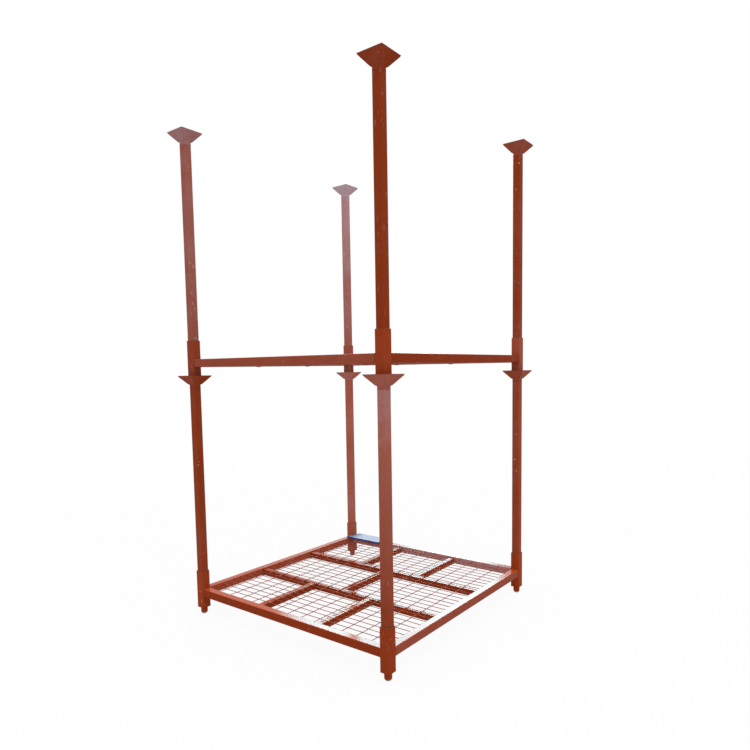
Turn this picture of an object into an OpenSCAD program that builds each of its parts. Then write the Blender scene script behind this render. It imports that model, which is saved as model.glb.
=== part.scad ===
// Pallet stacking rack: two identical post pallets, one stacked on the other.
// Each rack is a welded base with a wire mesh deck, four posts that lift out of corner
// sockets, and a flared cup on each post that takes the foot of the rack above.
// Origin: on the floor, midway between the four feet. +X right, +Y back, +Z up.

/* [Rack] */
// Distance between post centres along X
post_pitch_x = 1500; // [1000:10:1800]
// Distance between post centres along Y
post_pitch_y = 1500; // [1000:10:1800]
// Height from one rack's feet to the feet of the rack stacked on it
stack_pitch = 1480; // [900:10:2000]

/* [Posts] */
// Width of the square post tube
post_w = 50; // [46:1:60]
// Wall of the post tube
post_wall = 3; // [2:0.5:5]
// Outer corner radius of the post tube
post_corner_r = 5; // [3:0.5:8]

/* [Cups] */
// Width of the cup across its rim
cup_rim_w = 150; // [120:2:180]
// Height of the cup's flared sides
cup_h = 58; // [50:1:75]
// Plate thickness of the flared sides
cup_plate_t = 3; // [2.5:0.5:4]
// Thickness of the cup's floor, which closes the post
cup_floor_t = 6; // [4:0.5:10]
// Depth of the square neck between the cup's floor and its flared sides
cup_neck_h = 10; // [6:0.5:11]
// Gap that the welds bridge between the plates of a cup
weld_gap = 0.2; // [0.1:0.1:0.5]
// Clearance between a pin's tip and the floor of the cup it stands in
seat_gap = 0.3; // [0.1:0.1:0.8]

/* [Sockets] */
// Wall of the socket tube
socket_wall = 4; // [3:0.5:6]
// Clearance between post and socket on each side
post_gap = 1; // [0.5:0.1:2]
// Height of the socket tube and the foot plate together
socket_h = 240; // [190:1:300]

/* [Feet] */
// Length of the foot pin below its plate
pin_h = 46; // [40:1:65]
// Distance of the pin's side inside the faces of the post
pin_inset = 4; // [3:0.5:8]
// Height of the pin's domed end
dome_h = 14; // [8:1:18]
// Width of the flat at the tip of the dome
dome_flat_w = 18; // [10:1:24]
// Thickness of the foot plate under the socket
foot_plate_t = 8; // [5:0.5:12]

/* [Rails] */
// Width of the square rails seen from above
rail_w = 50; // [40:1:54]
// Height of the rails
rail_h = 50; // [46:1:80]
// Wall of the rails
rail_wall = 3; // [2:0.5:5]
// Outer corner radius of the rails
rail_corner_r = 5; // [3:0.5:8]
// Height of the underside of the rails above the feet
rail_lift = 120; // [95:1:140]

/* [Deck] */
// Width of the deck bars
bar_w = 40; // [30:1:60]
// Height of the deck bars
bar_h = 40; // [20:1:50]
// Wall of the deck bars
bar_wall = 2.5; // [1.5:0.5:4]
// Outer corner radius of the deck bars
bar_corner_r = 3.5; // [2.5:0.5:6]
// Diameter of the mesh wires
wire_d = 4; // [3:0.5:6]
// Depth of the mesh below the top of the rails
deck_recess = 2; // [0:0.5:8]
// Number of mesh cells along X
cells_x = 14; // [8:1:18]
// Number of mesh cells along Y
cells_y = 28; // [16:1:36]

/* [Blue plate] */
// Length of the plate along the back rail
plate_l = 325; // [200:5:400]
// Width of the plate across the rail
plate_w = 126; // [80:1:160]
// Thickness of the plate
plate_t = 12; // [6:1:20]
// Overhang of the plate inside the rail
plate_reach = 45; // [20:1:60]
// Tongue of the plate that passes in front of the socket
plate_tongue = 25; // [5:1:40]
// Clearance round the socket
plate_gap = 2; // [1:0.5:5]

/* [Hidden] */
LEVELS = ["lower", "upper"];
SIDES = ["front", "right", "back", "left"];
// Name, side along X and side along Y of each corner
CORNERS = [["front_left", -1, -1], ["front_right", 1, -1], ["back_right", 1, 1], ["back_left", -1, 1]];
CORNER_PIECES = ["socket", "foot", "post", "cup"];
// Name, bay along Y and place along X of each short bar, both in thirds of the deck
SHORT_BARS = [["front_left", -1, -0.5], ["front_right", -1, 0.5], ["middle", 0, 0],
              ["back_left", 1, -0.5], ["back_right", 1, 0.5]];
LONG_BARS = [["front", -0.5], ["back", 0.5]];
MESHES = ["mesh_line_wires", "mesh_cross_wires"];

// Round faces
$fn = 96;
// Extra length that lets a cut pass through a face
through = 1;

socket_w = post_w + 2 * (post_gap + socket_wall);
socket_corner_r = post_corner_r + post_gap;
foot_top = pin_h + foot_plate_t;
socket_top = pin_h + socket_h;
pin_r = post_w / 2 - pin_inset;

cup_base = stack_pitch - seat_gap - cup_floor_t;
post_len = cup_base - foot_top;
cup_flare = (cup_rim_w - post_w) / 2 / cup_h;
cup_side_w = cup_plate_t * sqrt(1 + cup_flare * cup_flare);
neck_bore_w = post_w - 2 * cup_side_w;

rail_top = rail_lift + rail_h;
rail_len_x = post_pitch_x - socket_w;
rail_len_y = post_pitch_y - socket_w;

deck_x = post_pitch_x - rail_w;
deck_y = post_pitch_y - rail_w;
wire_r = wire_d / 2;
cross_wire_z = rail_top - deck_recess - wire_r;
line_wire_z = cross_wire_z - wire_d;
bar_top = line_wire_z - wire_r;
bar_z = bar_top - bar_h / 2;
bay_y = deck_y / 3;
bay_x = deck_x / 3;

RAIL_PAINT = [0.51, 0.22, 0.14];
POST_PAINT = [0.52, 0.24, 0.16];
CUP_PAINT = [0.49, 0.22, 0.15];
FOOT_PAINT = [0.45, 0.20, 0.13];
MESH_PAINT = [0.56, 0.25, 0.20];
PLATE_BLUE = [0.16, 0.25, 0.52];

// Rectangle with round corners, about the origin
module round_rect(size_x, size_y, corner_r) {
    square([size_x - 2 * corner_r, size_y], center = true);
    square([size_x, size_y - 2 * corner_r], center = true);
    for (side_x = [-1, 1], side_y = [-1, 1])
        translate([side_x * (size_x / 2 - corner_r), side_y * (size_y / 2 - corner_r)])
            circle(r = corner_r);
}

// Box section tube that runs up from the origin
module box_tube(size_x, size_y, wall, corner_r, length) {
    linear_extrude(height = length)
        difference() {
            round_rect(size_x, size_y, corner_r);
            round_rect(size_x - 2 * wall, size_y - 2 * wall, corner_r - wall / 2);
        }
}

// Box section tube along X, centred on the origin, with size_z upright
module tube_along_x(size_y, size_z, wall, corner_r, length) {
    translate([-length / 2, 0, 0])
        rotate([0, 90, 0])
            box_tube(size_z, size_y, wall, corner_r, length);
}

// Box section tube along Y, centred on the origin, with size_z upright
module tube_along_y(size_x, size_z, wall, corner_r, length) {
    rotate([0, 0, 90])
        tube_along_x(size_x, size_z, wall, corner_r, length);
}

// Block whose four sides lean out, from low_w at its foot to high_w at its top
module flared_block(low_w, high_w, height) {
    side = [[-low_w / 2, 0], [low_w / 2, 0], [high_w / 2, height], [-high_w / 2, height]];
    intersection() {
        rotate([90, 0, 0])
            linear_extrude(height = 2 * high_w, center = true)
                polygon(side);
        rotate([90, 0, 90])
            linear_extrude(height = 2 * high_w, center = true)
                polygon(side);
    }
}

// Moves a piece to a corner
module at_corner(corner) {
    translate([corner[1] * post_pitch_x / 2, corner[2] * post_pitch_y / 2, 0])
        children();
}

module socket(corner) {
    color(RAIL_PAINT)
        at_corner(corner)
            translate([0, 0, foot_top])
                box_tube(socket_w, socket_w, socket_wall, socket_corner_r, socket_h - foot_plate_t);
}

// Square plate that closes the socket, with the pin that seats in the cup below
module foot(corner) {
    flat_r = dome_flat_w / 2;
    dome_centre = (pin_r * pin_r + dome_h * dome_h - flat_r * flat_r) / (2 * dome_h);
    dome_r = sqrt(flat_r * flat_r + dome_centre * dome_centre);
    color(FOOT_PAINT)
        at_corner(corner) {
            translate([0, 0, pin_h])
                linear_extrude(height = foot_plate_t)
                    round_rect(socket_w, socket_w, socket_corner_r);
            translate([0, 0, dome_h])
                cylinder(r = pin_r, h = pin_h - dome_h);
            intersection() {
                translate([0, 0, dome_centre])
                    sphere(r = dome_r);
                cylinder(r = dome_r + through, h = dome_h);
            }
        }
}

module post(corner) {
    color(POST_PAINT)
        at_corner(corner)
            translate([0, 0, foot_top])
                box_tube(post_w, post_w, post_wall, post_corner_r, post_len);
}

// Bent side plate of a cup, on its +X side: part of the square neck, then a flared side
module cup_side() {
    neck_foot = cup_floor_t + weld_gap;
    flare_foot = cup_floor_t + cup_neck_h;
    cut_h = cup_h + through;
    mitre_shift = weld_gap / sqrt(2);
    reach = cup_rim_w;
    intersection() {
        difference() {
            union() {
                translate([0, 0, neck_foot])
                    linear_extrude(height = flare_foot - neck_foot)
                        round_rect(post_w, post_w, post_corner_r);
                translate([0, 0, flare_foot])
                    flared_block(post_w, cup_rim_w, cup_h);
            }
            translate([-neck_bore_w / 2, -neck_bore_w / 2, 0])
                cube([neck_bore_w, neck_bore_w, flare_foot + through]);
            translate([0, 0, flare_foot])
                flared_block(neck_bore_w, neck_bore_w + 2 * cup_flare * cut_h, cut_h);
        }
        linear_extrude(height = flare_foot + cut_h)
            polygon([[mitre_shift, 0], [reach + mitre_shift, -reach], [reach + mitre_shift, reach]]);
    }
}

// Cup welded from a floor plate, which closes the post, and four bent side plates. Their neck
// holds the tip of the next rack's pin, and their flared sides guide the pin in.
module cup(corner) {
    color(CUP_PAINT)
        at_corner(corner)
            translate([0, 0, cup_base]) {
                linear_extrude(height = cup_floor_t)
                    round_rect(post_w, post_w, post_corner_r);
                for (quarter = [0 : 3])
                    rotate([0, 0, 90 * quarter])
                        cup_side();
            }
}

module rail(side) {
    along_x = side == "front" || side == "back";
    outward = side == "front" || side == "left" ? -1 : 1;
    color(RAIL_PAINT)
        if (along_x)
            translate([0, outward * post_pitch_y / 2, rail_lift + rail_h / 2])
                tube_along_x(rail_w, rail_h, rail_wall, rail_corner_r, rail_len_x);
        else
            translate([outward * post_pitch_x / 2, 0, rail_lift + rail_h / 2])
                tube_along_y(rail_w, rail_h, rail_wall, rail_corner_r, rail_len_y);
}

// Deck bar from the left rail to the right rail
module long_bar(bar) {
    color(RAIL_PAINT)
        translate([0, bar[1] * bay_y, bar_z])
            tube_along_x(bar_w, bar_h, bar_wall, bar_corner_r, deck_x);
}

// Deck bar across one bay, between a rail and a long bar or between the long bars
module short_bar(bar) {
    bay = bar[1];
    near_edge = bay == 0 ? -bay_y / 2 + bar_w / 2 : bay_y / 2 + bar_w / 2;
    far_edge = bay == 0 ? bay_y / 2 - bar_w / 2 : deck_y / 2;
    centre_y = bay == 0 ? 0 : bay * (near_edge + far_edge) / 2;
    color(RAIL_PAINT)
        translate([bar[2] * bay_x, centre_y, bar_z])
            tube_along_y(bar_w, bar_h, bar_wall, bar_corner_r, far_edge - near_edge);
}

// Lower layer of the mesh: wires along Y that lie on the long bars
module mesh_line_wires() {
    pitch = deck_x / cells_x;
    color(MESH_PAINT)
        for (i = [1 : cells_x - 1])
            translate([i * pitch - deck_x / 2, deck_y / 2, line_wire_z])
                rotate([90, 0, 0])
                    cylinder(r = wire_r, h = deck_y);
}

// Upper layer of the mesh: wires along X that lie on the lower layer
module mesh_cross_wires() {
    pitch = deck_y / cells_y;
    color(MESH_PAINT)
        for (i = [1 : cells_y - 1])
            translate([-deck_x / 2, i * pitch - deck_y / 2, cross_wire_z])
                rotate([0, 90, 0])
                    cylinder(r = wire_r, h = deck_x);
}

// Plain plate that lies on the back rail beside the back left socket, notched round it
module blue_plate() {
    socket_side = socket_w / 2 + plate_gap;
    left_x = -post_pitch_x / 2 + socket_side;
    front_y = post_pitch_y / 2 - rail_w / 2 - plate_reach;
    tongue_w = plate_reach + rail_w / 2 - socket_side;
    color(PLATE_BLUE) {
        translate([left_x, front_y, rail_top])
            cube([plate_l - plate_tongue, plate_w, plate_t]);
        translate([left_x - plate_tongue, front_y, rail_top])
            cube([plate_l, tongue_w, plate_t]);
    }
}

// Lifts one rack's pieces to its level in the stack
module at_level(level) {
    translate([0, 0, level == "upper" ? stack_pitch : 0])
        children();
}

for (level = LEVELS, corner = CORNERS) {
    name = str(level, "_", corner[0]);
    at_level(level) socket(corner);
    at_level(level) foot(corner);
    at_level(level) post(corner);
    at_level(level) cup(corner);
}
for (level = LEVELS, side = SIDES)
    at_level(level) rail(side);
for (level = LEVELS, bar = LONG_BARS)
    at_level(level) long_bar(bar);
for (level = LEVELS, bar = SHORT_BARS)
    at_level(level) short_bar(bar);
for (level = LEVELS) {
    at_level(level) mesh_line_wires();
    at_level(level) mesh_cross_wires();
}
blue_plate();
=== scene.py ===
"""Dresses a stack of two post pallets: worn red-brown paint, weld beads, spot welds and a pale studio.

Lengths are metres in the rack's own frame: origin on the floor midway between the feet, +X right,
+Y back, +Z up. Places and sizes come from the loaded frame.
"""

import math

import bpy
import numpy as np
from mathutils import Matrix, Vector


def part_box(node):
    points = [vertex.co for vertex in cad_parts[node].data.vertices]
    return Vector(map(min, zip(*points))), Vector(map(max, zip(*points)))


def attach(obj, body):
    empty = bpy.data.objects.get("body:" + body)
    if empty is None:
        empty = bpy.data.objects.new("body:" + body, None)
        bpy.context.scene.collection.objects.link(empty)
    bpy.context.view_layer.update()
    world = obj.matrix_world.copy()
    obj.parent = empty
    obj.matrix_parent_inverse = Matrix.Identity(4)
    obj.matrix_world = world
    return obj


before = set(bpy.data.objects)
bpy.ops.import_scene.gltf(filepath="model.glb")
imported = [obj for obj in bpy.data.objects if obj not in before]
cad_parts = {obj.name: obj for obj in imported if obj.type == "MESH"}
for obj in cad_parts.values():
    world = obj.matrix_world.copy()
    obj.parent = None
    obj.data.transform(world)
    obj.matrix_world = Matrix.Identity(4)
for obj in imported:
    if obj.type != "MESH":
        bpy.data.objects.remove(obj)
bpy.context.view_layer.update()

bl_info = {
    "name": "Pallet stacking rack",
    "version": (1, 0, 0),
    "blender": (4, 5, 0),
    "location": "3D View > Sidebar > Rack",
    "description": "Paint, weld beads and studio for a stack of two post pallets",
    "category": "Object",
}

LEVELS = ("lower", "upper")
CORNERS = ("front_left", "front_right", "back_right", "back_left")
SIDES = ("front", "right", "back", "left")
BARS = ("front_long", "back_long", "front_left_short", "front_right_short", "middle_short",
        "back_left_short", "back_right_short")

# Height of a cup's floor and square neck together, and half the wall of its flared sides
NECK_HEIGHT = 0.016
CUP_HALF_WALL = 0.002

# Fading of the paint at socket, post foot, post head and cup: 0 fresh, 1 a pale bloom that is partly a
# painted reflection sheen, below 0 darker
CORNER_FADING = {
    ("lower", "front_left"): (0.04, 0.14, 0.00, 0.06),
    ("lower", "front_right"): (-0.06, -0.02, 0.64, 0.48),
    ("lower", "back_right"): (0.00, 0.06, 0.18, 0.14),
    ("lower", "back_left"): (0.36, 0.50, 0.46, 0.52),
    ("upper", "front_left"): (0.16, 0.52, 0.54, 0.68),
    ("upper", "front_right"): (0.02, 0.00, 0.00, 0.04),
    ("upper", "back_right"): (0.22, 0.10, 0.00, 0.22),
    ("upper", "back_left"): (0.34, 0.46, 0.80, 1.00),
}

# Lightness of the paint of each corner, against the near one's
CORNER_TONE = {
    "lower": {"front_left": 1.07, "front_right": 1.0, "back_right": 1.10, "back_left": 1.25},
    "upper": {"front_left": 0.88, "front_right": 1.0, "back_right": 1.04, "back_left": 1.02},
}

# Fading of the four rails, in the order of SIDES
RAIL_FADING = {"lower": (-0.22, 0.26, 0.66, 0.16), "upper": (0.24, -0.25, 0.20, 0.05)}

# Lightness of the paint of the rails, in the same order
RAIL_TONE = {"lower": (1.0, 0.95, 1.18, 1.28), "upper": (0.92, 0.95, 1.0, 1.0)}

# Scale of the chipping of the posts
POST_CHIPS = {"lower": 1.0, "upper": 2.6}

# A worn band runs on this far past the end of its piece
PAST_END = 0.05

# Flakes along a metre of painted steel, and the share of its scratches that shows
FLAKE_DENSITY = 95.0
SCRATCH_AMOUNT = 0.55

# Depth of a chip, in heights of the orange peel
CHIP_DEPTH = 0.5

# Roughness of chips, and what chalky paint adds to that of fresh paint
CHIP_ROUGHNESS = 0.6
CHALK_ROUGHNESS = 0.30

# Roughness of bare steel, and how metallic it is
STEEL_ROUGHNESS = 0.42
STEEL_METALLIC = 0.8

# Clear gloss of the level faces that loads slide on, and the share of the orange peel left there
POLISH_ROUGHNESS = 0.14
POLISH_IOR = 1.2
POLISHED_PEEL = 0.03

# Radius of a bead in a flat seam, as a share of the fine bead's
FLAT_SEAM = 0.6


def low_corner(name):
    """Lowest corner of a node's box."""
    return np.array(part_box(name)[0])


def high_corner(name):
    """Highest corner of a node's box."""
    return np.array(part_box(name)[1])


def node_size(name):
    """Size of a node's box."""
    return high_corner(name) - low_corner(name)


def node_centre(name):
    """Middle of a node's box."""
    return (low_corner(name) + high_corner(name)) / 2


def bar_names(level):
    """Names of a level's deck bars, the long ones first."""
    return [f"{level}_{bar}_bar" for bar in BARS]


def direction(turn, rise):
    """Unit vector turned to the left of the +Y axis and raised above the horizon."""
    return Vector((-math.sin(turn) * math.cos(rise), math.cos(turn) * math.cos(rise), math.sin(rise)))


def flare_of(corner):
    """Middle of the foot of a cup's flared sides, the width of their rim and their height."""
    low, high = low_corner(corner + "_cup"), high_corner(corner + "_cup")
    foot = np.array([*node_centre(corner + "_cup")[:2], low[2] + NECK_HEIGHT])
    return foot, high[0] - low[0], high[2] - foot[2]


class RackCameraSettings(bpy.types.PropertyGroup):
    """Place and lens of the camera."""

    eye: bpy.props.FloatVectorProperty(
        name="Eye", description="Place of the camera", subtype="TRANSLATION", size=3, unit="LENGTH",
        default=(2.5550, -3.1274, 1.5765))
    turn: bpy.props.FloatProperty(
        name="Turn", description="Turn of the view to the left of the +Y axis",
        subtype="ANGLE", unit="ROTATION", default=math.radians(37.302))
    tilt: bpy.props.FloatProperty(
        name="Tilt", description="Tilt of the view below the horizon",
        subtype="ANGLE", unit="ROTATION", default=math.radians(4.943))
    roll: bpy.props.FloatProperty(
        name="Roll", description="Roll of the camera about its view",
        subtype="ANGLE", unit="ROTATION", default=math.radians(-0.879))
    lens: bpy.props.FloatProperty(
        name="Lens", description="Focal length in millimetres on a sensor 36 mm wide",
        default=29.455, min=10.0, max=200.0)
    shift: bpy.props.FloatVectorProperty(
        name="Shift", description="Shift of the frame, in widths of the picture", size=2,
        default=(-0.0111, 0.0616))


class RackPaintSettings(bpy.types.PropertyGroup):
    """Colours and wear of the finishes."""

    paint: bpy.props.FloatVectorProperty(
        name="Paint", description="Fresh red-brown paint", subtype="COLOR", size=3,
        default=(0.208, 0.031, 0.0075), min=0.0, max=1.0)
    base: bpy.props.FloatVectorProperty(
        name="Base paint", description="Brighter paint on the sockets, rails and bars",
        subtype="COLOR", size=3, default=(0.255, 0.037, 0.009), min=0.0, max=1.0)
    faded: bpy.props.FloatVectorProperty(
        name="Faded paint", description="Paint that sun and dust have dulled", subtype="COLOR", size=3,
        default=(0.300, 0.088, 0.060), min=0.0, max=1.0)
    # Pale bloom of old paint, which also serves as a painted sheen of pale surroundings mirrored in it
    chalk: bpy.props.FloatVectorProperty(
        name="Chalky paint", description="Paint with a chalky bloom all over", subtype="COLOR", size=3,
        default=(0.420, 0.300, 0.335), min=0.0, max=1.0)
    dark: bpy.props.FloatVectorProperty(
        name="Thick paint", description="Thick dark paint", subtype="COLOR", size=3,
        default=(0.120, 0.013, 0.006), min=0.0, max=1.0)
    chip: bpy.props.FloatVectorProperty(
        name="Chips", description="Pale primer in the chips", subtype="COLOR", size=3,
        default=(0.470, 0.360, 0.390), min=0.0, max=1.0)
    steel: bpy.props.FloatVectorProperty(
        name="Steel", description="Steel rubbed bare", subtype="COLOR", size=3,
        default=(0.260, 0.225, 0.205), min=0.0, max=1.0)
    # Painted sheen: the lighter colour that the tops of rails, bars and wires take for the sky they mirror
    top_sheen: bpy.props.FloatVectorProperty(
        name="Top sheen", description="Paint on the tops of rails and bars, bleached by the sun",
        subtype="COLOR", size=3, default=(0.490, 0.068, 0.012), min=0.0, max=1.0)
    enamel: bpy.props.FloatVectorProperty(
        name="Enamel", description="Enamel of the blue plate", subtype="COLOR", size=3,
        default=(0.020, 0.048, 0.230), min=0.0, max=1.0)
    # Painted sheen: pale sky-blue on the top of the blue plate, for the sky it mirrors
    plate_sheen: bpy.props.FloatVectorProperty(
        name="Plate sheen", description="Pale dust that lies on the blue plate", subtype="COLOR", size=3,
        default=(0.640, 0.750, 0.920), min=0.0, max=1.0)
    chips: bpy.props.FloatProperty(
        name="Chipping", description="Share of the paint flakes that are gone", subtype="FACTOR",
        default=0.03, min=0.0, max=1.0)
    peel: bpy.props.FloatProperty(
        name="Orange peel", description="Height of the waves in the sprayed paint",
        default=0.00016, min=0.0, max=0.002, unit="LENGTH")


class RackWeldSettings(bpy.types.PropertyGroup):
    """Sizes of the welds."""

    frame_bead: bpy.props.FloatProperty(
        name="Frame bead", description="Radius of the beads round rail ends and bar ends",
        default=0.0032, min=0.001, max=0.008, unit="LENGTH")
    fine_bead: bpy.props.FloatProperty(
        name="Fine bead", description="Radius of the beads on cups, foot plates and pins",
        default=0.0022, min=0.001, max=0.006, unit="LENGTH")
    ripple: bpy.props.FloatProperty(
        name="Ripple", description="Distance between two ripples of a bead",
        default=0.0048, min=0.002, max=0.02, unit="LENGTH")
    step: bpy.props.FloatProperty(
        name="Step", description="Distance between two rings of a bead",
        default=0.0012, min=0.0005, max=0.01, unit="LENGTH")
    spot: bpy.props.FloatProperty(
        name="Spot weld", description="Radius of the weld where two wires cross",
        default=0.0029, min=0.001, max=0.006, unit="LENGTH")


class RackStageSettings(bpy.types.PropertyGroup):
    """Floor, light and backdrop."""

    floor_width: bpy.props.FloatProperty(
        name="Floor", description="Width of the floor", default=160.0, min=10.0, max=500.0, unit="LENGTH")
    floor_white: bpy.props.FloatProperty(
        name="Floor white", description="Share of the floor's look that is plain white", subtype="FACTOR",
        default=0.92, min=0.0, max=1.0)
    sky: bpy.props.FloatProperty(
        name="Sky", description="Strength of the even light from all round", default=0.90, min=0.0, max=3.0)
    key: bpy.props.FloatProperty(
        name="Key", description="Power of the broad lamp overhead", default=260.0, min=0.0, max=5000.0,
        unit="POWER")
    glare: bpy.props.FloatProperty(
        name="Glare", description="Power of the far panel that the level faces mirror",
        default=4250.0, min=0.0, max=50000.0, unit="POWER")


def settings(name):
    """The scene's settings of one kind."""
    return getattr(bpy.context.scene, "rack_" + name)


class Graph:
    """Adds nodes to a node tree. A value given for a socket may be another socket."""

    def __init__(self, tree):
        self.tree = tree

    def node(self, kind, inputs=None, **options):
        """Adds a node, sets its options and feeds its inputs."""
        node = self.tree.nodes.new("ShaderNode" + kind)
        for name, value in options.items():
            setattr(node, name, value)
        self.feed(node, inputs or {})
        return node

    def feed(self, node, inputs):
        """Sets the inputs of a node, or links those whose value is a socket."""
        for key, value in inputs.items():
            if isinstance(value, bpy.types.NodeSocket):
                self.tree.links.new(value, node.inputs[key])
            else:
                node.inputs[key].default_value = value

    def math(self, operation, *values):
        """One operation on numbers."""
        return self.node("Math", dict(enumerate(values)), operation=operation).outputs[0]

    def vector_math(self, operation, *values):
        """One operation on vectors."""
        return self.node("VectorMath", dict(enumerate(values)), operation=operation).outputs[0]

    def noise(self, place, scale, detail=2.0, roughness=0.5):
        """Smooth noise between 0 and 1."""
        inputs = {"Vector": place, "Scale": scale, "Detail": detail, "Roughness": roughness}
        return self.node("TexNoise", inputs).outputs[0]

    def sway(self, place, scale, detail, roughness, width):
        """Smooth noise between minus half the width and half the width."""
        centred = self.math("SUBTRACT", self.noise(place, scale, detail, roughness), 0.5)
        return self.math("MULTIPLY", centred, width)

    def ramp(self, value, low, high, low_result=0.0, high_result=1.0, kind="SMOOTHSTEP"):
        """Smooth step from one result to the other as the value goes from low to high."""
        inputs = {"Value": value, "From Min": low, "From Max": high, "To Min": low_result,
                  "To Max": high_result}
        return self.node("MapRange", inputs, interpolation_type=kind).outputs[0]

    def line(self, value, low, high, low_result=0.0, high_result=1.0):
        """Straight ramp from one result to the other as the value goes from low to high."""
        return self.ramp(value, low, high, low_result, high_result, kind="LINEAR")

    def mix(self, factor, first, second):
        """Colour between two colours. The node's colour sockets are inputs 6 and 7 and output 2."""
        return self.node("Mix", {0: factor, 6: first, 7: second}, data_type="RGBA").outputs[2]

    def parts(self, vector):
        """The three numbers of a vector."""
        return self.node("SeparateXYZ", {0: vector}).outputs

    def group(self, tree, **inputs):
        """Places a node group; an input's name has its blanks as underscores."""
        named = {key.replace("_", " "): value for key, value in inputs.items()}
        return self.node("Group", named, node_tree=tree).outputs


def node_group(name, inputs, outputs, build):
    """The node group of that name, built on its first use.

    Sockets are given as name: kind. build(graph, inputs) returns a value for each output in order.
    """
    tree = bpy.data.node_groups.get(name)
    if tree:
        return tree
    tree = bpy.data.node_groups.new(name, "ShaderNodeTree")
    for direction, sockets in (("INPUT", inputs), ("OUTPUT", outputs)):
        for socket_name, kind in sockets.items():
            tree.interface.new_socket(name=socket_name, in_out=direction, socket_type="NodeSocket" + kind)
    entry = tree.nodes.new("NodeGroupInput")
    end = tree.nodes.new("NodeGroupOutput")
    for socket, value in zip(end.inputs, build(Graph(tree), entry.outputs)):
        tree.links.new(value, socket)
    return tree


def fading_group():
    """Colour of paint by its fading: thick at -1, fresh at 0, faded at one half, and at 1 a pale bloom
    that is partly a painted sheen of pale surroundings mirrored in the paint.

    The fading runs straight from Bottom to Top along Z, and cloudy noise moves it up and down.
    """
    def build(graph, given):
        place = given["Place"]
        fading = graph.line(graph.parts(place)[2], given["Bottom"], given["Top"],
                            given["Fading at bottom"], given["Fading at top"])
        clouds = graph.sway(place, scale=5.0, detail=4.0, roughness=0.6, width=0.30)
        fine_clouds = graph.sway(place, scale=55.0, detail=3.0, roughness=0.6, width=0.16)
        fading = graph.math("ADD", fading, graph.math("ADD", clouds, fine_clouds))
        colour = graph.mix(graph.line(fading, -1.0, 0.0, 1.0, 0.0), given["Paint"], given["Thick paint"])
        colour = graph.mix(graph.line(fading, 0.0, 0.5), colour, given["Faded paint"])
        return graph.mix(graph.line(fading, 0.5, 1.0), colour, given["Chalky paint"]), fading

    inputs = {"Place": "Vector", "Bottom": "Float", "Top": "Float", "Fading at bottom": "Float",
              "Fading at top": "Float", "Paint": "Color", "Thick paint": "Color", "Faded paint": "Color",
              "Chalky paint": "Color"}
    return node_group("Fading", inputs, {"Color": "Color", "Fading": "Float"}, build)


def chips_group():
    """Mask of small flakes that are gone from the paint, in loose clusters.

    A flake is a cell of a Voronoi pattern, bent by noise, out to a radius that differs from cell to
    cell. Only the cells whose random number is below the amount are gone, more where the cluster noise
    is high. The third power of a random number makes most flakes small.
    """
    # Width over which noise bends the cells, in metres
    bend_width = 0.006
    # Radii of the smallest and the largest flake, in cells
    small, large = 0.07, 0.40
    # Scale of the amount between the clusters and within them
    sparse, dense = 0.15, 2.4

    def build(graph, given):
        place = given["Place"]
        noise = graph.node("TexNoise", {"Vector": place, "Scale": 160.0, "Detail": 2.0}).outputs["Color"]
        centred = graph.vector_math("SUBTRACT", noise, (0.5, 0.5, 0.5))
        bend = graph.node("VectorMath", {0: centred, "Scale": bend_width}, operation="SCALE").outputs[0]
        bent = graph.vector_math("ADD", place, bend)
        cells = graph.node("TexVoronoi", {"Vector": bent, "Scale": given["Density"]}).outputs
        chance, size, _ = graph.parts(cells["Color"])
        cluster = graph.ramp(graph.noise(place, scale=3.5), 0.42, 0.68, sparse, dense)
        gone = graph.math("LESS_THAN", chance, graph.math("MULTIPLY", given["Amount"], cluster))
        radius = graph.line(graph.math("POWER", size, 3.0), 0.0, 1.0, small, large)
        inside = graph.math("LESS_THAN", cells["Distance"], radius)
        return (graph.math("MULTIPLY", gone, inside),)

    inputs = {"Place": "Vector", "Density": "Float", "Amount": "Float"}
    return node_group("Chips", inputs, {"Mask": "Float"}, build)


def scratches_group():
    """Mask of fine scratches along Z: stretched noise above a threshold, broken up by wide noise."""
    stretch = (1.0, 1.0, 0.035)

    def build(graph, given):
        place = given["Place"]
        lines = graph.noise(graph.vector_math("MULTIPLY", place, stretch), scale=520.0, detail=1.0)
        patches = graph.noise(place, scale=9.0)
        marks = graph.math("MULTIPLY", graph.ramp(lines, 0.70, 0.74), graph.ramp(patches, 0.50, 0.62))
        return (graph.math("MULTIPLY", marks, given["Amount"]),)

    return node_group("Scratches", {"Place": "Vector", "Amount": "Float"}, {"Mask": "Float"}, build)


def peel_group():
    """Height of sprayed paint, from 0 to 1: fine waves, with slow unevenness of the steel below."""
    waves_share = 0.55

    def build(graph, given):
        waves = graph.math("MULTIPLY", graph.noise(given["Place"], scale=330.0), waves_share)
        sags = graph.math("MULTIPLY", graph.noise(given["Place"], scale=38.0), 1 - waves_share)
        return (graph.math("ADD", waves, sags),)

    return node_group("Orange peel", {"Place": "Vector"}, {"Height": "Float"}, build)


def band_group():
    """Mask that is 1 between From and To along Z, with ragged edges that sway over 3 times the softness."""
    def build(graph, given):
        place = given["Place"]
        shift = graph.sway(place, scale=70.0, detail=4.0, roughness=0.65,
                           width=graph.math("MULTIPLY", given["Softness"], 3.0))
        height = graph.math("ADD", graph.parts(place)[2], shift)
        above = graph.math("GREATER_THAN", height, given["From"])
        below = graph.math("LESS_THAN", height, given["To"])
        return (graph.math("MULTIPLY", above, below),)

    inputs = {"Place": "Vector", "From": "Float", "To": "Float", "Softness": "Float"}
    return node_group("Rubbed band", inputs, {"Mask": "Float"}, build)


def worn_band(start, end, softness):
    """Function for the mask of bare steel in a rubbed band between two heights."""
    def mask(graph, place):
        return graph.group(band_group(), Place=place, From=start, To=end, Softness=softness)[0]

    return mask


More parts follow.
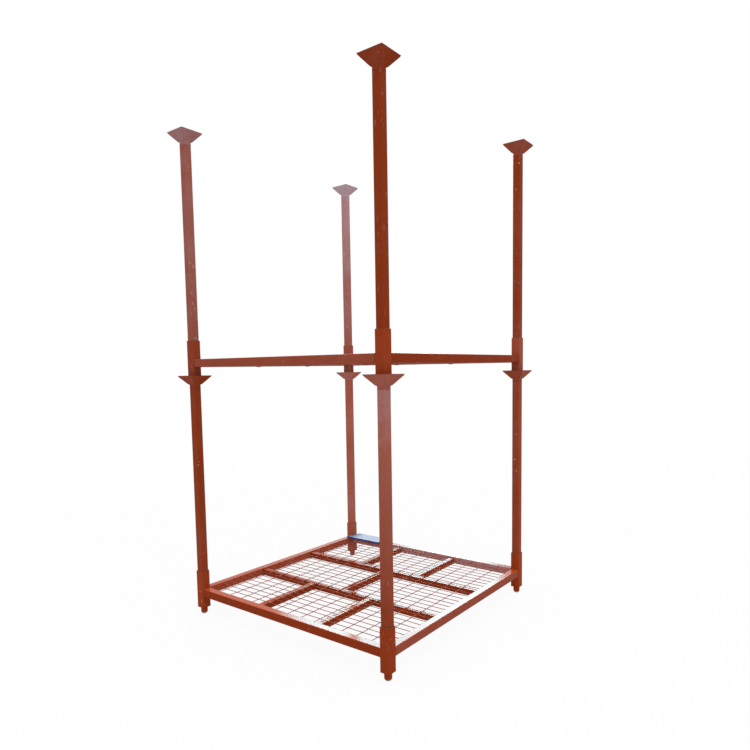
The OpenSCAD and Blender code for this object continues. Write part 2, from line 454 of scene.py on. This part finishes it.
def cup_inside_group():
    """Mask of rubbed patches inside a cup. Place is measured from the middle of the foot of its flare.

    A point is inside where the larger of |x| and |y| is less than the outer half width at its height,
    taken one half wall inwards. Below the flare the half width stays as it is at the flare's foot.
    """
    def build(graph, given):
        x, y, z = graph.parts(given["Place"])
        reach = graph.math("MAXIMUM", graph.math("ABSOLUTE", x), graph.math("ABSOLUTE", y))
        height = graph.math("MAXIMUM", z, 0.0)
        outer = graph.math("MULTIPLY_ADD", height, given["Flare"], given["Half width"])
        inside = graph.math("LESS_THAN", reach, graph.math("SUBTRACT", outer, given["Half wall"]))
        noise = graph.noise(given["Place"], scale=60.0, detail=4.0, roughness=0.7)
        rubbed = graph.ramp(noise, 0.40, 0.58)
        return (graph.math("MULTIPLY", inside, rubbed),)

    inputs = {"Place": "Vector", "Flare": "Float", "Half width": "Float", "Half wall": "Float"}
    return node_group("Cup inside", inputs, {"Mask": "Float"}, build)


def new_material(name):
    """Empty material with its graph, its place in object coordinates and its shader."""
    material = bpy.data.materials.new(name)
    material.use_nodes = True
    graph = Graph(material.node_tree)
    place = graph.node("TexCoord").outputs["Object"]
    return material, graph, place, material.node_tree.nodes["Principled BSDF"]


def upward_mask(graph):
    """Mask of the faces that look up: full up to a tilt of 18 degrees, and none from 60 degrees."""
    return graph.ramp(graph.parts(graph.node("NewGeometry").outputs["Normal"])[2], 0.5, 0.95)


def finish_surface(graph, shader, colour, dullness, height, specular):
    """Feeds a shader its colour, its roughness and the relief of its paint, and sets its gloss."""
    relief = graph.node("Bump", {"Height": height, "Distance": settings("paint").peel, "Strength": 1.0})
    graph.feed(shader, {"Base Color": colour, "Roughness": dullness, "Normal": relief.outputs[0],
                        "Specular IOR Level": specular})


def painted_steel(name, fading, heights=(0.0, 1.0), paint="paint", tone=1.0, origin=(0, 0, 0), chips=1.0,
                  rubbed=None, polish=0.0, roughness=0.24, specular=0.01):
    """Material of painted steel.

    The paint's fading is one number, or two: at the lower and at the upper of the heights. tone scales
    its lightness. Places and heights are measured from origin. rubbed(graph, place) gives the mask of
    bare steel, and chips scales the chipping. Loads slide on a piece whose polish is above 0: its faces
    that look up take a painted sheen, a lighter colour for the sky they mirror, and a clear coat that far.
    """
    colours = settings("paint")
    # The last of these colours is a pale bloom that is partly a painted reflection sheen
    fresh, thick, dull, chalky_sheen = (
        [*(tone * channel for channel in getattr(colours, kind)), 1]
        for kind in (paint, "dark", "faded", "chalk"))
    low_fading, high_fading = np.broadcast_to(fading, 2)
    material, graph, place, shader = new_material(name)
    place = graph.node("Mapping", {"Vector": place, "Location": [-value for value in origin]}).outputs[0]
    colour, faded = graph.group(
        fading_group(), Place=place, Bottom=heights[0], Top=heights[1], Fading_at_bottom=low_fading,
        Fading_at_top=high_fading, Paint=fresh, Thick_paint=thick, Faded_paint=dull, Chalky_paint=chalky_sheen)
    height = graph.group(peel_group(), Place=place)[0]
    if polish:
        level_face = upward_mask(graph)
        # Painted sheen: faces that look up take the lighter top sheen colour
        colour = graph.mix(level_face, colour, (*colours.top_sheen, 1))
        height = graph.math("MULTIPLY", height, graph.line(level_face, 0.0, 1.0, 1.0, POLISHED_PEEL))
        graph.feed(shader, {"Coat Weight": graph.math("MULTIPLY", level_face, polish),
                            "Coat Roughness": POLISH_ROUGHNESS, "Coat IOR": POLISH_IOR})
    chipped = graph.group(chips_group(), Place=place, Density=FLAKE_DENSITY, Amount=colours.chips * chips)[0]
    scratched = graph.group(scratches_group(), Place=place, Amount=SCRATCH_AMOUNT * chips)[0]
    bare = graph.math("MAXIMUM", chipped, scratched)
    colour = graph.mix(bare, colour, (*colours.chip, 1))
    height = graph.math("SUBTRACT", height, graph.math("MULTIPLY", bare, CHIP_DEPTH))
    dullness = graph.line(faded, 0.0, 1.0, roughness, roughness + CHALK_ROUGHNESS)
    dullness = graph.math("MAXIMUM", dullness, graph.math("MULTIPLY", bare, CHIP_ROUGHNESS))
    if rubbed:
        steel = rubbed(graph, place)
        colour = graph.mix(steel, colour, (*colours.steel, 1))
        dullness = graph.math("MAXIMUM", dullness, graph.math("MULTIPLY", steel, STEEL_ROUGHNESS))
        graph.feed(shader, {"Metallic": graph.math("MULTIPLY", steel, STEEL_METALLIC)})
    finish_surface(graph, shader, colour, dullness, height, specular)
    return material


def dress(node, material):
    """Puts a material on all slots of a CAD node."""
    for material_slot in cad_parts[node].material_slots:
        material_slot.material = material


class RACK_OT_camera(bpy.types.Operator):
    """Place the camera in front of the rack's near corner"""

    bl_idname = "rack.camera"
    bl_label = "Camera"

    def execute(self, context):
        view = settings("camera")
        ahead = direction(view.turn, -view.tilt)
        right = Vector((math.cos(view.turn), math.sin(view.turn), 0))
        axes = Matrix((right, right.cross(ahead), -ahead)).transposed()
        camera = bpy.data.objects.new("camera", bpy.data.cameras.new("camera"))
        camera.data.lens = view.lens
        camera.data.shift_x, camera.data.shift_y = view.shift
        level_view = Matrix.Translation(view.eye) @ axes.to_4x4()
        camera.matrix_world = level_view @ Matrix.Rotation(view.roll, 4, "Z")
        context.scene.collection.objects.link(camera)
        context.scene.camera = camera
        return {"FINISHED"}


class RACK_OT_paint_base(bpy.types.Operator):
    """Paint the sockets, the feet and the rails"""

    bl_idname = "rack.paint_base"
    bl_label = "Paint the base"

    RAIL_CHIPS = 1.2
    # Heights of the worn bands at socket mouths and pin tips, and the softness of their edges
    MOUTH_WEAR = 0.0004
    MOUTH_SOFTNESS = 0.0006
    TIP_WEAR = 0.010
    TIP_SOFTNESS = 0.006

    def execute(self, context):
        for level in LEVELS:
            for corner in CORNERS:
                self.paint_corner(f"{level}_{corner}", CORNER_FADING[level, corner][0],
                                  CORNER_TONE[level][corner])
            for side, fading, tone in zip(SIDES, RAIL_FADING[level], RAIL_TONE[level]):
                name = f"{level}_{side}_rail"
                # polish 1 gives the rails' tops the painted sheen and a clear coat
                dress(name, painted_steel(name + "_paint", fading, paint="base", tone=tone,
                                          chips=self.RAIL_CHIPS, polish=1.0))
        return {"FINISHED"}

    def paint_corner(self, corner, fading, tone):
        """Socket with a worn mouth, and foot with a pin rubbed bare at its tip."""
        socket, foot = corner + "_socket", corner + "_foot"
        mouth, tip = high_corner(socket)[2], low_corner(foot)[2]
        mouth_band = worn_band(mouth - self.MOUTH_WEAR, mouth + PAST_END, self.MOUTH_SOFTNESS)
        tip_band = worn_band(tip - PAST_END, tip + self.TIP_WEAR, self.TIP_SOFTNESS)
        for name, rubbed in ((socket, mouth_band), (foot, tip_band)):
            dress(name, painted_steel(name + "_paint", fading, paint="base", tone=tone, rubbed=rubbed))


class RACK_OT_paint_posts(bpy.types.Operator):
    """Paint the posts and their cups"""

    bl_idname = "rack.paint_posts"
    bl_label = "Paint the posts"

    CUP_CHIPS = 1.2
    # The band that the socket rubs ends this far below its mouth, with edges of this softness
    BAND_GAP = 0.008
    BAND_SOFTNESS = 0.004
    # Noise stretched by this makes streaks along the post
    STREAKS = (1, 1, 0.05)

    def execute(self, context):
        for (level, corner), (_, foot_fading, head_fading, cup_fading) in CORNER_FADING.items():
            tone = CORNER_TONE[level][corner]
            self.paint_post(f"{level}_{corner}", (foot_fading, head_fading), tone, POST_CHIPS[level])
            self.paint_cup(f"{level}_{corner}", cup_fading, tone)
        return {"FINISHED"}

    def paint_post(self, corner, fading, tone, chips):
        """Post with a rubbed foot, where it slides in its socket."""
        name = corner + "_post"
        bottom, top = low_corner(name)[2], high_corner(name)[2]
        band_top = high_corner(corner + "_socket")[2] - self.BAND_GAP
        band = worn_band(bottom - PAST_END, band_top, self.BAND_SOFTNESS)

        def rubbed_foot(graph, place):
            streaks = graph.noise(graph.vector_math("MULTIPLY", place, self.STREAKS), scale=210.0)
            return graph.math("MULTIPLY", band(graph, place), graph.ramp(streaks, 0.52, 0.62))

        dress(name, painted_steel(name + "_paint", fading, (bottom, top), tone=tone, chips=chips,
                                  rubbed=rubbed_foot))

    def paint_cup(self, corner, fading, tone):
        """Cup rubbed inside by the pins that drop into it."""
        name = corner + "_cup"
        post_width = node_size(corner + "_post")[0]
        foot, rim_width, height = flare_of(corner)

        def rubbed_inside(graph, place):
            return graph.group(cup_inside_group(), Place=place, Flare=(rim_width - post_width) / 2 / height,
                               Half_width=post_width / 2, Half_wall=CUP_HALF_WALL)[0]

        dress(name, painted_steel(name + "_paint", fading, tone=tone, origin=foot, chips=self.CUP_CHIPS,
                                  rubbed=rubbed_inside))


class RACK_OT_paint_deck(bpy.types.Operator):
    """Paint the deck bars and the wire mesh"""

    bl_idname = "rack.paint_deck"
    bl_label = "Paint the deck"

    # Fading below 0, for darker paint
    BAR_FADING = -0.05
    WIRE_FADING = -0.25
    # Share of clear coat on the bars' tops, which also take the painted sheen in full
    BAR_POLISH = 0.75

    def execute(self, context):
        for level in LEVELS:
            bar_paint = painted_steel(level + "_bar_paint", self.BAR_FADING, paint="base",
                                      polish=self.BAR_POLISH)
            for bar in bar_names(level):
                dress(bar, bar_paint)
            wire_paint = painted_steel(level + "_wire_paint", self.WIRE_FADING, chips=0.6, polish=1.0,
                                       roughness=0.30, specular=0.06)
            for layer in ("line", "cross"):
                dress(f"{level}_mesh_{layer}_wires", wire_paint)
        return {"FINISHED"}


class RACK_OT_paint_plate(bpy.types.Operator):
    """Enamel the blue plate on the back rail"""

    bl_idname = "rack.paint_plate"
    bl_label = "Enamel the plate"

    # Length over which the painted sheen fades out to the plate's left end, and its share there
    SHEEN_FADE_LENGTH = 0.12
    LEFT_END_SHEEN = 0.25
    # Share of the painted sheen in thin places
    THIN_SHEEN = 0.86
    ENAMEL_ROUGHNESS = 0.35
    SHEEN_ROUGHNESS = 0.85
    # Flakes along a metre, and the scale of the chipping
    FLAKES = 110.0
    CHIPS = 2.0

    def execute(self, context):
        colours = settings("paint")
        material, graph, place, shader = new_material("blue_enamel")
        left = low_corner("blue_plate")[0]
        # Painted sheen: faces that look up take a pale sky-blue, less of it in patches and towards the left
        # end
        left_fade = graph.ramp(graph.parts(place)[0], left, left + self.SHEEN_FADE_LENGTH, self.LEFT_END_SHEEN, 1.0)
        cloud = graph.noise(place, scale=14.0, detail=4.0, roughness=0.6)
        cloud = graph.ramp(cloud, 0.30, 0.75, self.THIN_SHEEN, 1.0)
        plate_sheen = graph.math("MULTIPLY", graph.math("MULTIPLY", upward_mask(graph), cloud), left_fade)
        colour = graph.mix(plate_sheen, (*colours.enamel, 1), (*colours.plate_sheen, 1))
        chipped = graph.group(chips_group(), Place=place, Density=self.FLAKES,
                              Amount=colours.chips * self.CHIPS)[0]
        colour = graph.mix(chipped, colour, (*colours.chip, 1))
        height = graph.math("SUBTRACT", graph.group(peel_group(), Place=place)[0], chipped)
        dullness = graph.line(plate_sheen, 0.0, 1.0, self.ENAMEL_ROUGHNESS, self.SHEEN_ROUGHNESS)
        finish_surface(graph, shader, colour, dullness, height, specular=0.02)
        dress("blue_plate", material)
        return {"FINISHED"}


def round_loop(width, depth, corner, step):
    """Points round a rectangle with round corners, in the order of a left turn.

    Each of its four quarters is a straight side followed by a quarter circle, both cut into steps of
    about the same length.
    """
    points = []
    middles = np.array([(1, 1), (-1, 1), (-1, -1), (1, -1)]) * (width / 2 - corner, depth / 2 - corner)
    for turn, middle in enumerate(middles):
        run = (depth if turn % 2 == 0 else width) - 2 * corner
        outward = np.array([math.cos(turn * math.pi / 2), math.sin(turn * math.pi / 2)])
        along = np.array([-outward[1], outward[0]])
        share = np.arange(round(run / step))[:, None] / round(run / step)
        points.append(middle + corner * outward - run * (1 - share) * along)
        count = max(3, round(corner * math.pi / 2 / step))
        angle = np.arange(count)[:, None] / count * math.pi / 2
        points.append(middle + corner * (np.cos(angle) * outward + np.sin(angle) * along))
    return np.concatenate(points)


def open_loop(width, depth, corner, step):
    """The same points without the upper side and its two round corners, from the left round to the right."""
    loop = round_loop(width, depth, corner, step)
    kept = loop[:, 1] < depth / 2 - corner
    first = np.flatnonzero(~kept)[-1] + 1
    return np.roll(loop, -first, 0)[:kept.sum()]


def in_plane(loop, centre, across, upward):
    """Points of a plane that passes through centre, from their two coordinates along across and upward."""
    return np.asarray(centre) + loop[:, :1] * np.array(across, float) + loop[:, 1:] * np.array(upward, float)


def ring_faces(rings, columns, looped):
    """Triangles between rings of points: all round if looped, else closed by a pole point at each end.

    The points come ring by ring. The two pole points, first and last, follow them.
    """
    i, j = np.meshgrid(np.arange(rings if looped else rings - 1), np.arange(columns), indexing="ij")
    a, b = i * columns + j, i * columns + (j + 1) % columns
    c, d = (i + 1) % rings * columns + (j + 1) % columns, (i + 1) % rings * columns + j
    faces = [np.stack([a, b, c], -1).reshape(-1, 3), np.stack([a, c, d], -1).reshape(-1, 3)]
    if not looped:
        j = np.arange(columns)
        k = (j + 1) % columns
        last, pole = (rings - 1) * columns, rings * columns
        faces.append(np.stack([k, j, np.full(columns, pole)], -1))
        faces.append(np.stack([last + j, last + k, np.full(columns, pole + 1)], -1))
    return np.concatenate(faces)


def bead(path, side, radius, ripple, looped=False, columns=8):
    """Points and faces of a rippled weld bead along a path.

    Ring i is a circle about path point i, in the plane of side and of the path's tangent crossed with
    side. Its radius is the bead's radius times 0.9 + 0.1 |cos(pi s / ripple)|, with s the length along
    the path. Towards an open end the radius follows a quarter ellipse two radii long. A pole closes it.
    """
    if looped:
        steps = np.linalg.norm(np.roll(path, -1, 0) - path, axis=1)
        s = np.cumsum(steps) - steps
        ripple = steps.sum() / round(steps.sum() / ripple)
        tangent = np.roll(path, -1, 0) - np.roll(path, 1, 0)
    else:
        s = np.concatenate([[0], np.cumsum(np.linalg.norm(np.diff(path, axis=0), axis=1))])
        tangent = np.gradient(path, axis=0)
    tangent /= np.linalg.norm(tangent, axis=1, keepdims=True)
    side = np.broadcast_to(np.asarray(side, float), path.shape)
    across = np.cross(tangent, side)
    across /= np.linalg.norm(across, axis=1, keepdims=True)
    size = radius * (0.9 + 0.1 * np.abs(np.cos(math.pi * s / ripple)))
    if not looped:
        from_pole = np.minimum(s, s[-1] - s) + radius / 4
        size *= np.sqrt(1 - np.clip(1 - from_pole / (2 * radius), 0, 1) ** 2)
    angle = np.arange(columns) / columns * 2 * math.pi
    circle = np.cos(angle)[:, None] * side[:, None] + np.sin(angle)[:, None] * across[:, None]
    points = (path[:, None] + size[:, None, None] * circle).reshape(-1, 3)
    if not looped:
        poles = path[[0, -1]] + tangent[[0, -1]] * [[-radius / 8], [radius / 8]]
        points = np.concatenate([points, poles])
    return points, ring_faces(len(path), columns, looped)


def blob(centre, radii, rings=3, columns=8):
    """Points and faces of an ellipsoid: rings as wide as the cosine of latitude, as high as its sine."""
    latitude = -math.pi / 2 + np.arange(1, rings + 1) / (rings + 1) * math.pi
    angle = np.arange(columns) / columns * 2 * math.pi
    level, around = np.meshgrid(latitude, angle, indexing="ij")
    points = np.stack([np.cos(level) * np.cos(around), np.cos(level) * np.sin(around), np.sin(level)], -1)
    points = np.concatenate([points.reshape(-1, 3), [(0, 0, -1), (0, 0, 1)]])
    return np.asarray(centre) + points * radii, ring_faces(rings, columns, False)


def weld_piece(name, surfaces, material, body):
    """Joins surfaces of points and faces into one object that rides on a body."""
    counts = [len(points) for points, _ in surfaces]
    starts = np.cumsum(counts) - counts
    points = np.concatenate([points for points, _ in surfaces]).astype(np.float32)
    faces = np.concatenate([faces + start for (_, faces), start in zip(surfaces, starts)]).astype(np.int32)
    mesh = bpy.data.meshes.new(name)
    mesh.vertices.add(len(points))
    mesh.vertices.foreach_set("co", points.ravel())
    mesh.loops.add(faces.size)
    mesh.loops.foreach_set("vertex_index", faces.ravel())
    mesh.polygons.add(len(faces))
    mesh.polygons.foreach_set("loop_start", np.arange(0, faces.size, 3, dtype=np.int32))
    mesh.shade_smooth()
    mesh.update(calc_edges=True)
    mesh.materials.append(material)
    piece = bpy.data.objects.new(name, mesh)
    bpy.context.scene.collection.objects.link(piece)
    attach(piece, body)


def end_beads(name, corner, whole):
    """Beads round both ends of a rail or bar, without their top side if not whole."""
    welds = settings("welds")
    low, high, centre, size = low_corner(name), high_corner(name), node_centre(name), node_size(name)
    # 0 for a piece along X, 1 for one along Y
    axis = int(np.argmax(size))
    along, across = np.eye(3)[axis], np.eye(3)[1 - axis]
    loop = (round_loop if whole else open_loop)(size[1 - axis], size[2], corner, welds.step)
    beads = []
    for end in (low[axis], high[axis]):
        middle = centre + (end - centre[axis]) * along
        path = in_plane(loop, middle, across, (0, 0, 1))
        beads.append(bead(path, along, welds.frame_bead, welds.ripple, whole))
    return beads


class RACK_OT_weld_base(bpy.types.Operator):
    """Weld the rails to the sockets and the feet to their plates"""

    bl_idname = "rack.weld_base"
    bl_label = "Weld the base"

    RAIL_CORNER = 0.005
    SOCKET_CORNER = 0.006
    FOOT_PLATE = 0.008
    PIN_RADIUS = 0.021
    # Short straight sides between the quarter circles of the bead round a pin
    COLLAR_SIDE = 0.0002

    def execute(self, context):
        for level in LEVELS:
            body = level + "_base"
            rails = [surface for side in SIDES
                     for surface in end_beads(f"{level}_{side}_rail", self.RAIL_CORNER, True)]
            paint = painted_steel(level + "_weld_paint", 0.0, paint="base", chips=0.0, roughness=0.4)
            weld_piece(level + "_rail_welds", rails, paint, body)
            feet = [surface for corner in CORNERS for surface in self.foot_beads(f"{level}_{corner}")]
            weld_piece(level + "_foot_welds", feet, paint, body)
        return {"FINISHED"}

    def foot_beads(self, corner):
        """Bead round the seam between socket and plate, and the collar where the pin meets the plate."""
        welds = settings("welds")
        width = node_size(corner + "_socket")[0]
        x, y, _ = node_centre(corner + "_socket")
        plate_top = low_corner(corner + "_socket")[2]
        pin_width = 2 * self.PIN_RADIUS
        seam = round_loop(width, width, self.SOCKET_CORNER, welds.step)
        collar = round_loop(pin_width, pin_width, self.PIN_RADIUS - self.COLLAR_SIDE / 2, welds.step)
        beads = []
        for loop, height, radius in ((seam, plate_top, FLAT_SEAM * welds.fine_bead),
                                     (collar, plate_top - self.FOOT_PLATE, welds.fine_bead)):
            path = in_plane(loop, (x, y, height), (1, 0, 0), (0, 1, 0))
            beads.append(bead(path, (0, 0, 1), radius, welds.ripple, True))
        return beads


class RACK_OT_weld_deck(bpy.types.Operator):
    """Weld the bars to the rails, and the wires to each other and to the rails"""

    bl_idname = "rack.weld_deck"
    bl_label = "Weld the deck"

    BAR_CORNER = 0.0035
    # Fading of the burnt paint on the spot welds
    SPOT_FADING = -0.6
    # Height of a spot weld between two wires, and size of one at a wire's end, in spot welds
    SPOT_HEIGHT = 0.62
    END_SPOT = 1.1
    # Points of a layer that lie further apart than this belong to two wires
    WIRE_GAP = 0.01

    def execute(self, context):
        for level in LEVELS:
            body = level + "_base"
            bars = bar_names(level)
            bar_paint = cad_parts[bars[0]].active_material
            beads = [surface for bar in bars for surface in end_beads(bar, self.BAR_CORNER, False)]
            weld_piece(level + "_bar_welds", beads, bar_paint, body)
            spot_paint = painted_steel(level + "_spot_paint", self.SPOT_FADING, chips=0.0, roughness=0.80)
            weld_piece(level + "_spot_welds", self.spot_welds(level), spot_paint, body)
        return {"FINISHED"}

    def spot_welds(self, level):
        """Flat blob at each crossing of two wires, and a round one at each wire's end on a rail."""
        lines, crosses = level + "_mesh_line_wires", level + "_mesh_cross_wires"
        spot = settings("welds").spot
        line_x, cross_y = self.wire_places(lines, 0), self.wire_places(crosses, 1)
        line_z, between, cross_z = node_centre(lines)[2], high_corner(lines)[2], node_centre(crosses)[2]
        ends = [(x, y, line_z) for x in line_x for y in (low_corner(lines)[1], high_corner(lines)[1])]
        ends += [(x, y, cross_z) for y in cross_y for x in (low_corner(crosses)[0], high_corner(crosses)[0])]
        flat = spot * np.array([1.0, 1.0, self.SPOT_HEIGHT])
        crossings = [blob((x, y, between), flat) for x in line_x for y in cross_y]
        return crossings + [blob(end, self.END_SPOT * spot) for end in ends]

    def wire_places(self, name, axis):
        """Middles of the wires of one layer along an axis, from the layer's points to a tenth of a mm."""
        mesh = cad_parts[name].data
        points = np.empty(3 * len(mesh.vertices))
        mesh.vertices.foreach_get("co", points)
        places = np.unique(points.reshape(-1, 3)[:, axis].round(4))
        starts = np.flatnonzero(np.diff(places, prepend=-math.inf) > self.WIRE_GAP)
        return np.array([wire.min() + wire.max() for wire in np.split(places, starts[1:])]) / 2


class RACK_OT_weld_cups(bpy.types.Operator):
    """Weld the cups' flared sides to each other and the cups to their posts"""

    bl_idname = "rack.weld_cups"
    bl_label = "Weld the cups"

    POST_CORNER = 0.005
    # Shares of a cup's edge at which its bead starts and ends
    SEAM_START = 0.05
    SEAM_END = 0.93

    def execute(self, context):
        for level in LEVELS:
            for corner in CORNERS:
                name = f"{level}_{corner}"
                cup_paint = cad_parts[name + "_cup"].active_material
                weld_piece(name + "_cup_welds", self.cup_beads(name), cup_paint, name + "_post")
        return {"FINISHED"}

    def cup_beads(self, corner):
        """Bead round the post's head, and one up each outer edge of the cup, ended short of the rim."""
        welds = settings("welds")
        post_width = node_size(corner + "_post")[0]
        foot, rim_width, height = flare_of(corner)
        loop = round_loop(post_width, post_width, self.POST_CORNER, welds.step)
        seam = in_plane(loop, foot - (0, 0, NECK_HEIGHT), (1, 0, 0), (0, 1, 0))
        beads = [bead(seam, (0, 0, 1), FLAT_SEAM * welds.fine_bead, welds.ripple, True)]
        for side_x, side_y in ((-1, -1), (1, -1), (1, 1), (-1, 1)):
            start = foot + np.array([side_x, side_y, 0]) * post_width / 2
            end = foot + (side_x * rim_width / 2, side_y * rim_width / 2, height)
            count = round(np.linalg.norm(end - start) / welds.step)
            share = np.linspace(self.SEAM_START, self.SEAM_END, count)[:, None]
            side = np.array([-side_y, side_x, 0]) / math.sqrt(2)
            beads.append(bead(start + share * (end - start), side, welds.fine_bead, welds.ripple))
        return beads


class RACK_OT_stage(bpy.types.Operator):
    """Set the floor, the backdrop and the lamps"""

    bl_idname = "rack.stage"
    bl_label = "Stage"

    KEY_PLACE = (4.0, -3.0, 8.5)
    KEY_SIZE = (7.0, 7.0)
    FLOOR_GREY = 0.86
    # The floor turns plain white between these distances from the rack
    SHADOW_REACH = 3.0
    WHITE_REACH = 9.0
    # Turn to the left and rise of the direction in which the near level faces mirror the eye
    GLARE_TURN = math.radians(36)
    GLARE_RISE = math.radians(22.5)
    GLARE_ROLL = math.radians(26)
    GLARE_DISTANCE = 40.0
    GLARE_SIZE = (14.6, 6.4)
    # Tint of a clear sky
    GLARE_COLOUR = (0.42, 0.93, 1.0)

    def execute(self, context):
        stage = settings("stage")
        self.set_world(context.scene, stage)
        self.lay_floor(context.scene, stage)
        aim = Vector(node_centre("lower_mesh_cross_wires"))
        self.add_lamp("key_lamp", Vector(self.KEY_PLACE), aim, self.KEY_SIZE, stage.key)
        place = aim + self.GLARE_DISTANCE * direction(self.GLARE_TURN, self.GLARE_RISE)
        panel = self.add_lamp("glare_panel", place, aim, self.GLARE_SIZE, stage.glare, self.GLARE_ROLL)
        panel.visible_diffuse = False
        panel.data.color = self.GLARE_COLOUR
        context.scene.view_settings.view_transform = "Standard"
        return {"FINISHED"}

    def seen_directly(self, graph):
        """1 for rays from the camera and for mirrored or transmitted ones, 0 for scattered light."""
        ray = graph.node("LightPath").outputs
        seen = graph.math("MAXIMUM", ray["Is Camera Ray"], ray["Is Glossy Ray"])
        return graph.math("MAXIMUM", seen, ray["Is Transmission Ray"])

    def set_world(self, scene, stage):
        """White all round where it is seen, and an even light where it isn't."""
        world = bpy.data.worlds.new("studio")
        world.use_nodes = True
        graph = Graph(world.node_tree)
        strength = graph.line(self.seen_directly(graph), 0.0, 1.0, stage.sky, 1.0)
        graph.feed(world.node_tree.nodes["Background"], {"Color": (1, 1, 1, 1), "Strength": strength})
        scene.world = world

    def lay_floor(self, scene, stage):
        """Pale floor that shows nearly white and still takes a soft shadow."""
        half = stage.floor_width / 2
        corners = [(-half, -half, 0), (half, -half, 0), (half, half, 0), (-half, half, 0)]
        mesh = bpy.data.meshes.new("floor")
        mesh.from_pydata(corners, [], [(0, 1, 2, 3)])
        material = bpy.data.materials.new("floor")
        material.use_nodes = True
        graph = Graph(material.node_tree)
        pale = graph.node("BsdfDiffuse", {"Color": (self.FLOOR_GREY, self.FLOOR_GREY, self.FLOOR_GREY, 1)})
        white = graph.node("Emission", {"Color": (1, 1, 1, 1), "Strength": 1.0})
        place = graph.node("TexCoord").outputs["Object"]
        away = graph.node("VectorMath", {0: place}, operation="LENGTH").outputs["Value"]
        white_share = graph.ramp(away, self.SHADOW_REACH, self.WHITE_REACH, stage.floor_white, 1.0)
        share = graph.math("MULTIPLY", self.seen_directly(graph), white_share)
        mixed = graph.node("MixShader", {0: share, 1: pale.outputs[0], 2: white.outputs[0]})
        graph.feed(material.node_tree.nodes["Material Output"], {"Surface": mixed.outputs[0]})
        mesh.materials.append(material)
        floor = bpy.data.objects.new("floor", mesh)
        scene.collection.objects.link(floor)

    def add_lamp(self, name, place, aim, size, power, roll=0.0):
        """Rectangular lamp that points at the aim and that the camera doesn't see."""
        lamp = bpy.data.lights.new(name, "AREA")
        lamp.shape = "RECTANGLE"
        lamp.size, lamp.size_y = size
        lamp.energy = power
        holder = bpy.data.objects.new(name, lamp)
        turned = (aim - place).to_track_quat("-Z", "Y").to_matrix().to_4x4() @ Matrix.Rotation(roll, 4, "Z")
        holder.matrix_world = Matrix.Translation(place) @ turned
        holder.visible_camera = False
        bpy.context.scene.collection.objects.link(holder)
        return holder


class RACK_PT_panel(bpy.types.Panel):
    """Lists the rack's settings and steps"""

    bl_idname = "RACK_PT_panel"
    bl_label = "Pallet stacking rack"
    bl_space_type = "VIEW_3D"
    bl_region_type = "UI"
    bl_category = "Rack"

    def draw(self, context):
        for name, group in SETTINGS.items():
            box = self.layout.box()
            box.label(text=group.__doc__)
            for key in group.__annotations__:
                box.prop(getattr(context.scene, "rack_" + name), key)
        for step in STEPS:
            self.layout.operator(step.bl_idname)


SETTINGS = {"camera": RackCameraSettings, "paint": RackPaintSettings, "welds": RackWeldSettings,
            "stage": RackStageSettings}
STEPS = (RACK_OT_camera, RACK_OT_paint_base, RACK_OT_paint_posts, RACK_OT_paint_deck, RACK_OT_paint_plate,
         RACK_OT_weld_base, RACK_OT_weld_deck, RACK_OT_weld_cups, RACK_OT_stage)


def register():
    """Adds the settings, the steps and the panel."""
    for name, group in SETTINGS.items():
        bpy.utils.register_class(group)
        setattr(bpy.types.Scene, "rack_" + name, bpy.props.PointerProperty(type=group))
    for step in STEPS:
        bpy.utils.register_class(step)
    bpy.utils.register_class(RACK_PT_panel)


def unregister():
    """Removes what register added."""
    bpy.utils.unregister_class(RACK_PT_panel)
    for step in reversed(STEPS):
        bpy.utils.unregister_class(step)
    for name, group in reversed(SETTINGS.items()):
        delattr(bpy.types.Scene, "rack_" + name)
        bpy.utils.unregister_class(group)


def main():
    """Adds the settings and steps, and runs every step in order."""
    register()
    for step in STEPS:
        folder, _, name = step.bl_idname.partition(".")
        getattr(getattr(bpy.ops, folder), name)()


if __name__ == "__main__":
    main()
